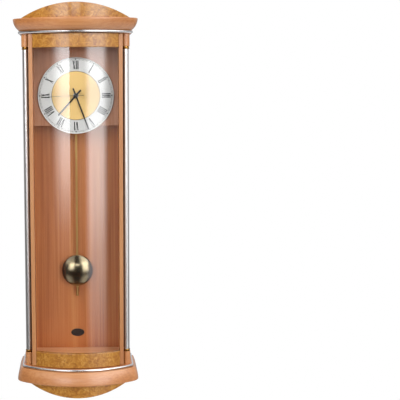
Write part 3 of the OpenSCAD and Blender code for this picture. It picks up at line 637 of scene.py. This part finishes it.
for track in (0.933, 0.963):
    line(track * dial_radius, 0.00035, ring_front)
for minute in range(60):
    turned = math.radians(6 * minute)
    if minute % 5:
        stroke(turned, 0.0, 0.948 * dial_radius, 0.030 * dial_radius, 0.00050)
    else:
        stroke(turned, 0.0, 0.946 * dial_radius, 0.0028, 0.0020)
settle("minute_track", "case", "black_paint", ink, angle=30)
# A thin dark ring on the plate, close inside the chapter ring's inner edge
line(opening - 0.0004, 0.0006, plate_front)
settle("dark_ring_at_opening", "case", "black_paint", ink, angle=30)

# ---- Hands ----
# Straight baton hands blanked from thin aluminium and lacquered black, pressed on the pipes of the
# movement. The seconds hand is a needle with a longer, heavier tail.

black_lacquer, tree = material("black_lacquer_on_metal")
place = node(tree, "ShaderNodeTexCoord").outputs["Object"]
grain = node(tree, "ShaderNodeTexNoise", {"Vector": place, "Scale": 1800.0, "Detail": 2.0})
tone = node(tree, "ShaderNodeValToRGB", {"Fac": grain.outputs["Fac"]}, stops=(
    (0.3, "0d0d0e"), (0.7, "161617")))
gloss = node(tree, "ShaderNodeMapRange", {"Value": grain.outputs["Fac"], "To Min": 0.28, "To Max": 0.40})
surface(tree, Base_Color=tone.outputs["Color"], Roughness=gloss.outputs[0], Coat_Weight=0.3,
    Coat_Roughness=0.2)
for source, name, body in (("hour_hand", "hour_baton", "hour"), ("minute_hand", "minute_baton", "minute"),
        ("second_hand", "seconds_needle", "second")):
    ease(source, name, body, black_lacquer, 0.00012)

# ---- Movement ----
# A quartz movement with a radio receiver, in a moulded black box behind the dial board. The box is ABS
# with a spark-eroded grain; a screwed cover closes it, and the cell lies open for the hand at the back.


def moulded(name, dark, light, rough, grain_mm=0.4):
    """Moulded plastic: one tone with a fine eroded grain."""
    made, tree = material(name)
    place = node(tree, "ShaderNodeTexCoord").outputs["Object"]
    grain = node(tree, "ShaderNodeTexNoise", {"Vector": place, "Scale": 1000.0 / grain_mm, "Detail": 3.0})
    tone = node(tree, "ShaderNodeValToRGB", {"Fac": grain.outputs["Fac"]}, stops=(
        (0.3, dark), (0.7, light)))
    gloss = node(tree, "ShaderNodeMapRange", {"Value": grain.outputs["Fac"], "To Min": rough - 0.08,
        "To Max": rough + 0.08})
    relief = node(tree, "ShaderNodeBump", {"Height": grain.outputs["Fac"], "Strength": 0.25,
        "Distance": 0.00008})
    surface(tree, Base_Color=tone.outputs["Color"], Roughness=gloss.outputs[0], Normal=relief.outputs[0])
    return made


black_abs = moulded("black_abs_moulding", "151516", "212122", 0.5)
cover_abs = moulded("charcoal_abs_cover", "2a2a2b", "363637", 0.55)
ease("movement_housing", "movement_case", "case", black_abs, 0.0004)
ease("movement_cover", "movement_lid", "case", cover_abs, 0.0004)
white_abs = moulded("white_abs_key", "dcdcda", "ebebe9", 0.4)
red_abs = moulded("red_abs_key", "a02a20", "b8372b", 0.4)
ease("set_button", "time_set_button", "set_key", white_abs, 0.0003)
ease("reset_button", "restart_button", "reset_key", red_abs, 0.0003)
# The cell: printed shrink sleeve, green over its body and bare steel round the terminal at its top
cell_sleeve, tree = material("shrink_sleeve_green")
place = node(tree, "ShaderNodeTexCoord").outputs["Object"]
height = node(tree, "ShaderNodeSeparateXYZ", {0: place}).outputs["Z"]
cell_low, cell_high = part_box("battery")
along = node(tree, "ShaderNodeMapRange", {"Value": height, "From Min": cell_low[2],
    "From Max": cell_high[2]})
tone = node(tree, "ShaderNodeValToRGB", {"Fac": along.outputs[0]}, stops=(
    (0.02, "c9c9c6"), (0.03, "3c6a4c"), (0.70, "427455"), (0.71, "b9964a"), (0.955, "c4a052"),
    (0.965, "c9c9c6")))
sheen = node(tree, "ShaderNodeTexNoise", {"Vector": place, "Scale": 500.0, "Detail": 2.0})
gloss = node(tree, "ShaderNodeMapRange", {"Value": sheen.outputs["Fac"], "To Min": 0.22, "To Max": 0.36})
surface(tree, Base_Color=tone.outputs["Color"], Roughness=gloss.outputs[0], Coat_Weight=0.5)
ease("battery", "battery_cell", "case", cell_sleeve, 0.0004)
# Glass-fibre board under green solder mask, its weave just showing
solder_mask, tree = material("green_solder_mask")
place = node(tree, "ShaderNodeTexCoord").outputs["Object"]
weave = node(tree, "ShaderNodeTexWave", {"Vector": place, "Scale": 900.0, "Distortion": 1.0, "Detail": 1.0})
tone = node(tree, "ShaderNodeValToRGB", {"Fac": weave.outputs["Fac"]}, stops=(
    (0.0, "1d5335"), (1.0, "2a6b46")))
surface(tree, Base_Color=tone.outputs["Color"], Roughness=0.35, Coat_Weight=0.4)
dress(solder_mask, "circuit_board")
# Sintered ferrite and ceramic magnets: dense, dark grey, dull and faintly granular
ferrite = moulded("sintered_ferrite", "29282a", "3d3b3d", 0.6, 0.25)
dress(ferrite, "antenna", "hanger_magnet", "catch_magnet")
# Enamelled copper wire, wound in close turns 0.3 mm apart across the coil
winding, tree = material("enamelled_copper_winding")
place = node(tree, "ShaderNodeTexCoord").outputs["Object"]
turns = node(tree, "ShaderNodeTexWave", {"Vector": place, "Scale": 1000.0, "Distortion": 0.6},
    bands_direction="X")
tone = node(tree, "ShaderNodeValToRGB", {"Fac": turns.outputs["Fac"]}, stops=(
    (0.0, "8a4722"), (1.0, "c2713a")))
relief = node(tree, "ShaderNodeBump", {"Height": turns.outputs["Fac"], "Strength": 0.5, "Distance": 0.0001})
surface(tree, Base_Color=tone.outputs["Color"], Metallic=0.8, Roughness=0.3, Normal=relief.outputs[0])
dress(winding, "motor_coils", "drive_coil")
dress(turned_brass, "hour_wheel", "cannon_pinion", "second_wheel", "motion_wheel", "pivot_bushes")
# Zinc-plated steel: bright, faintly blue, with the soft cloudy spangle of the plating
zinc, tree = material("zinc_plated_steel")
place = node(tree, "ShaderNodeTexCoord").outputs["Object"]
spangle = node(tree, "ShaderNodeTexNoise", {"Vector": place, "Scale": 220.0, "Detail": 4.0})
tone = node(tree, "ShaderNodeValToRGB", {"Fac": spangle.outputs["Fac"]}, stops=(
    (0.3, "a9adb2"), (0.7, "c6c9cc")))
gloss = node(tree, "ShaderNodeMapRange", {"Value": spangle.outputs["Fac"],
    "To Min": 0.22, "To Max": 0.42})
surface(tree, Base_Color=tone.outputs["Color"], Metallic=1.0, Roughness=gloss.outputs[0])
dress(zinc, "movement_screws", "battery_contacts", "pendulum_hanger", "door_pivots", "strike_plate")
ease("hanger_plate", "hanging_plate", "case", zinc, 0.0003)
# The nut that clamps the dial: six flats, as on any such movement, chamfered
nut_low, nut_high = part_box("centre_nut")
bpy.ops.mesh.primitive_cylinder_add(vertices=6, radius=0.0055, depth=nut_high[1] - nut_low[1],
    location=(0.0, (nut_low[1] + nut_high[1]) / 2, dial.z), rotation=(math.pi / 2, 0.0, 0.0))
bpy.ops.object.transform_apply(location=True, rotation=True, scale=True)
bpy.ops.object.mode_set(mode="EDIT")
pick("FACE", lambda middle: abs(middle.y - nut_low[1]) < 1e-5 or abs(middle.y - nut_high[1]) < 1e-5)
bpy.ops.mesh.bevel(offset=0.0004, segments=2, affect="EDGES")
settle("dial_nut", "case", "zinc_steel", zinc, "centre_nut")

# ---- Pendulum ----
# A flat brass rod, drawn and satin lacquered, hooked on the movement's hanger, with a domed lens of rolled
# brass closed by a back disc, and a plain tube below it for rating.

rod_brass, tree = material("drawn_brass_strip")
place = node(tree, "ShaderNodeTexCoord").outputs["Object"]
lengthways = node(tree, "ShaderNodeMapping", {"Vector": place, "Scale": (3000.0, 3000.0, 20.0)})
lines = node(tree, "ShaderNodeTexNoise", {"Vector": lengthways.outputs[0], "Scale": 1.0, "Detail": 3.0})
tone = node(tree, "ShaderNodeValToRGB", {"Fac": lines.outputs["Fac"]}, stops=(
    (0.3, "b38a50"), (0.7, "cba56c")))
gloss = node(tree, "ShaderNodeMapRange", {"Value": lines.outputs["Fac"], "To Min": 0.28, "To Max": 0.42})
surface(tree, Base_Color=tone.outputs["Color"], Metallic=1.0, Roughness=gloss.outputs[0])
ease("pendulum_rod", "brass_rod", "pendulum", rod_brass, 0.0002)
ease("rating_nut", "rating_tube", "pendulum", rod_brass, 0.0003)

low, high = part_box("bob_front")
bob = Vector((0.0, 0.0, (low[2] + high[2]) / 2))
bob_radius = (high[0] - low[0]) / 2
bob_nose, bob_seam = low[1], high[1]
# Rolled brass with a satin antique lacquer, brushed round its centre
lens_brass, tree = material("satin_antique_brass")
place = node(tree, "ShaderNodeTexCoord").outputs["Object"]
centred = node(tree, "ShaderNodeVectorMath", {0: place, 1: tuple(bob)}, operation="SUBTRACT").outputs[0]
flat = node(tree, "ShaderNodeVectorMath", {0: centred, 1: (1.0, 0.0, 1.0)},
    operation="MULTIPLY").outputs[0]
radius = node(tree, "ShaderNodeVectorMath", {0: flat}, operation="LENGTH").outputs["Value"]
ring_place = node(tree, "ShaderNodeCombineXYZ", {0: radius, 1: 0.0, 2: 0.0})
rings = node(tree, "ShaderNodeTexNoise", {"Vector": ring_place.outputs[0], "Scale": 2200.0, "Detail": 3.0})
tone = node(tree, "ShaderNodeValToRGB", {"Fac": rings.outputs["Fac"]}, stops=(
    (0.3, "8f836b"), (0.7, "a5987e")))
gloss = node(tree, "ShaderNodeMapRange", {"Value": rings.outputs["Fac"], "To Min": 0.14, "To Max": 0.20})
surface(tree, Base_Color=tone.outputs["Color"], Metallic=1.0, Roughness=gloss.outputs[0])
# The lens is nearly flat in the middle and turns down towards its rim
curve = [(0.985 * bob_radius * step / 24, bob_nose + 0.0068 * (step / 24) ** 2.5) for step in range(25)]
turn([(0.00001, bob_nose)] + curve[1:] + [(bob_radius, curve[-1][1] + 0.0006), (bob_radius, bob_seam),
    (bob_radius - 0.0012, bob_seam), (bob_radius - 0.0014, bob_seam - 0.0006)]
    + [(point[0], point[1] + 0.0007) for point in reversed(curve[:-2])], bob, "Y")
settle("bob_lens", "pendulum", "brass", lens_brass, "bob_front", angle=50)
ease("bob_back", "bob_back_disc", "pendulum", lens_brass, 0.0004)

# ---- Plaque ----
# A small oval plate of dark brown enamelled metal, glued low on the back panel, with a rolled rim.

enamel, tree = material("dark_brown_enamel")
place = node(tree, "ShaderNodeTexCoord").outputs["Object"]
cloud = node(tree, "ShaderNodeTexNoise", {"Vector": place, "Scale": 700.0, "Detail": 3.0})
tone = node(tree, "ShaderNodeValToRGB", {"Fac": cloud.outputs["Fac"]}, stops=(
    (0.3, "150903"), (0.7, "200e06")))
surface(tree, Base_Color=tone.outputs["Color"], Roughness=0.5, Coat_Weight=0.1, Coat_Roughness=0.3)
low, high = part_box("oval_plaque")
bpy.ops.mesh.primitive_cylinder_add(vertices=72, radius=0.5, depth=1.0,
    location=((low[0] + high[0]) / 2, (low[1] + high[1]) / 2, (low[2] + high[2]) / 2),
    rotation=(math.pi / 2, 0.0, 0.0), scale=(high[0] - low[0], high[2] - low[2], high[1] - low[1]))
bpy.ops.object.transform_apply(location=True, rotation=True, scale=True)
bpy.ops.object.mode_set(mode="EDIT")
pick("FACE", lambda middle: abs(middle.y - low[1]) < 1e-5)
bpy.ops.mesh.inset(thickness=0.0008)
bpy.ops.mesh.extrude_region_move(TRANSFORM_OT_translate={"value": (0.0, 0.0003, 0.0)})
bpy.ops.mesh.select_all(action="SELECT")
bpy.ops.mesh.normals_make_consistent(inside=False)
settle("oval_badge", "case", "black_paint", enamel, "oval_plaque")

# ---- Door ----
# Two slim beech stiles and two bowed rails faced with burl, grooved for a bent pane of clear glass. It
# turns on two pins in the left stile, and a magnet in the right jamb holds it shut.

# Painted shade: the stiles get a darker copy of the pale beech, for the shade they stand in
stile_beech_painted_shade = beech("lacquered_beech_stile_painted_shade", "Z", ("935829", "a56837", "b07847", "703d1e"), 0.9)
for source, name in (("door_left_stile", "left_stile"), ("door_right_stile", "right_stile")):
    ease(source, name, "door", stile_beech_painted_shade, 0.0010, 3)
for source, name in (("door_top_rail", "top_rail"), ("door_bottom_rail", "bottom_rail")):
    ease(source, name, "door", burl_veneer, 0.0007)

# Float glass, bent: clear, with a gloss that grows towards its edges
bent_glass, tree = material("bent_float_glass")
through = node(tree, "ShaderNodeBsdfTransparent", {"Color": linear("fbfbfa")})
mirror = node(tree, "ShaderNodeBsdfGlossy", {"Color": linear("ffffff"), "Roughness": 0.012})
# Light goes straight through, so a face seen from outside carries the reflections of both, and one seen
# from within the glass carries none
edge_on = node(tree, "ShaderNodeFresnel", {"IOR": 1.8})
facing = node(tree, "ShaderNodeNewGeometry")
outward = node(tree, "ShaderNodeMath", {0: 1.0, 1: facing.outputs["Backfacing"]}, operation="SUBTRACT")
share = node(tree, "ShaderNodeMath", {0: edge_on.outputs[0], 1: outward.outputs[0]}, operation="MULTIPLY")
pane = node(tree, "ShaderNodeMixShader", {0: share.outputs[0], 1: through.outputs[0], 2: mirror.outputs[0]})
node(tree, "ShaderNodeOutputMaterial", {"Surface": pane.outputs[0]})
thickness = 0.003
low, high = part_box("door_glass")
pane_front = bow_y - low[1]
pane_angle = math.asin(high[0] / (pane_front - thickness / 2))
pane_middle = (0.0, low[1] + thickness / 2, (low[2] + high[2]) / 2)
bpy.ops.mesh.primitive_plane_add(size=thickness, location=pane_middle, rotation=(0.0, math.pi / 2, 0.0))
bpy.ops.object.transform_apply(location=True, rotation=True, scale=True)
bpy.ops.object.mode_set(mode="EDIT")
bpy.ops.mesh.select_all(action="SELECT")
bpy.ops.transform.resize(value=(1.0, 1.0, (high[2] - low[2]) / thickness), center_override=pane_middle)
bpy.ops.transform.rotate(value=pane_angle, orient_axis="Z", center_override=(0.0, bow_y, 0.0))
bpy.ops.mesh.spin(steps=96, angle=-2 * pane_angle, center=(0.0, bow_y, 0.0), axis=(0, 0, 1))
bpy.ops.mesh.select_all(action="SELECT")
bpy.ops.mesh.normals_make_consistent(inside=False)
settle("bent_pane", "door", "clear_glass", bent_glass, "door_glass", angle=30)
